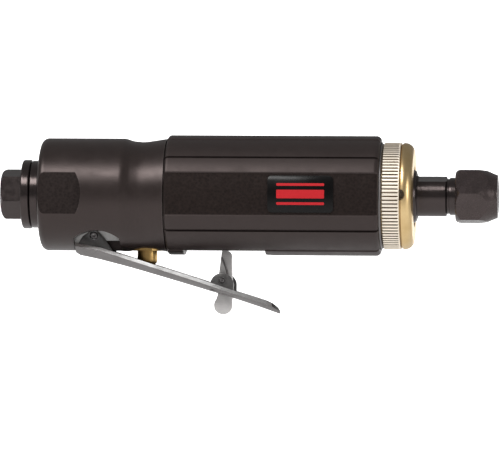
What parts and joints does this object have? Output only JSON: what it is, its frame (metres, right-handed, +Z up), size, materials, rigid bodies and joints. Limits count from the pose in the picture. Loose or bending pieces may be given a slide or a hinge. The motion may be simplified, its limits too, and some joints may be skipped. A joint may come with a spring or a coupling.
{
  "type": "pneumatic die grinder",
  "caption": "Straight air die grinder with a cylindrical grip, hinged throttle lever with folding lock, knurled exhaust ring and hex collet nut.",
  "frame": {"origin": "on the tool axis at the middle of the grip sleeve, where the hand holds it", "axes": "+X along the tool axis towards the collet, +Z up, away from the throttle lever, +Y to the left looking forward"},
  "size_m": [0.168, 0.0397, 0.0604],
  "materials": {
    "coating": "satin",
    "sleeve": "matte",
    "black_oxide": "gloss",
    "steel": "satin",
    "cast_iron": "satin",
    "brass": "satin",
    "gold_plate": "satin",
    "rubber": "matte",
    "phenolic": "matte",
    "felt": "matte",
    "label": "gloss"
  },
  "bodies": {
    "tool_body": {"housing": "coating", "grip_sleeve": "sleeve", "badge": "label", "inlet_bushing": "black_oxide", "inlet_collar": "black_oxide", "inlet_o_ring": "rubber", "inlet_screen": "brass", "valve_bushing": "brass", "bushing_o_ring": "rubber", "lever_pin": "steel", "rear_gasket": "rubber", "rear_end_plate": "cast_iron", "rear_bearing_outer": "steel", "motor_cylinder": "cast_iron", "cylinder_dowel": "steel", "front_end_plate": "cast_iron", "front_bearing_outer": "steel", "wave_washer": "steel", "clamp_nut": "gold_plate", "muffler_felt": "felt", "dust_shield": "black_oxide"},
    "throttle": {"throttle_lever": "steel", "lock_pin": "steel"},
    "lock": {"lock_lever": "steel", "lock_spring": "steel"},
    "valve": {"valve_stem": "brass", "valve_poppet": "rubber", "valve_spring": "steel"},
    "rotor_group": {"rotor": "steel", "vane_1": "phenolic", "vane_2": "phenolic", "vane_3": "phenolic", "vane_4": "phenolic", "rear_bearing_inner": "steel", "front_bearing_inner": "steel", "front_spacer": "steel", "collet_body": "black_oxide"},
    "rear_cage": {"rear_bearing_balls": "steel"},
    "front_cage": {"front_bearing_balls": "steel"},
    "collet_group": {"collet": "steel"},
    "nut": {"collet_nut": "black_oxide"},
    "deflector": {"exhaust_deflector": "gold_plate"}
  },
  "joints": [
    {"name": "lever_squeeze", "type": "hinge", "parent": "tool_body", "child": "throttle", "pos_m": [-0.0605, 0, -0.014], "axis": [0, -1, 0], "range_deg": [0, 9.5], "stiffness_Nm_per_rad": 2, "springref_deg": -11.46},
    {"name": "lock_turn", "type": "hinge", "parent": "throttle", "child": "lock", "pos_m": [-0.0172, 0, -0.0288], "axis": [0, -1, 0], "range_deg": [0, 73.3]},
    {"name": "valve_push", "type": "slide", "parent": "tool_body", "child": "valve", "axis": [0, 0, 1], "range_m": [0, 0.0033], "deforming": ["valve_spring"]},
    {"name": "rotor_spin", "type": "hinge", "parent": "tool_body", "child": "rotor_group", "pos_m": [0, 0, 0], "axis": [1, 0, 0], "continuous": true},
    {"name": "rear_cage_spin", "type": "hinge", "parent": "tool_body", "child": "rear_cage", "pos_m": [0, 0, 0], "axis": [1, 0, 0], "continuous": true},
    {"name": "front_cage_spin", "type": "hinge", "parent": "tool_body", "child": "front_cage", "pos_m": [0, 0, 0], "axis": [1, 0, 0], "continuous": true},
    {"name": "collet_travel", "type": "slide", "parent": "rotor_group", "child": "collet_group", "axis": [1, 0, 0], "range_m": [0, 0.0031]},
    {"name": "collet_nut_turn", "type": "hinge", "parent": "collet_group", "child": "nut", "pos_m": [0, 0, 0], "axis": [1, 0, 0], "range_deg": [0, 1080]},
    {"name": "deflector_turn", "type": "hinge", "parent": "tool_body", "child": "deflector", "pos_m": [0, 0, 0], "axis": [1, 0, 0], "continuous": true}
  ],
  "couplings": [
    {"joint": "lock_turn", "follows": "lever_squeeze", "ratio": 7.7},
    {"joint": "valve_push", "follows": "lever_squeeze", "m_per_rad": 0.01924},
    {"joint": "rear_cage_spin", "follows": "rotor_spin", "ratio": 0.388},
    {"joint": "front_cage_spin", "follows": "rotor_spin", "ratio": 0.431},
    {"joint": "collet_travel", "follows": "collet_nut_turn", "m_per_rad": 0.00015915}
  ]
}
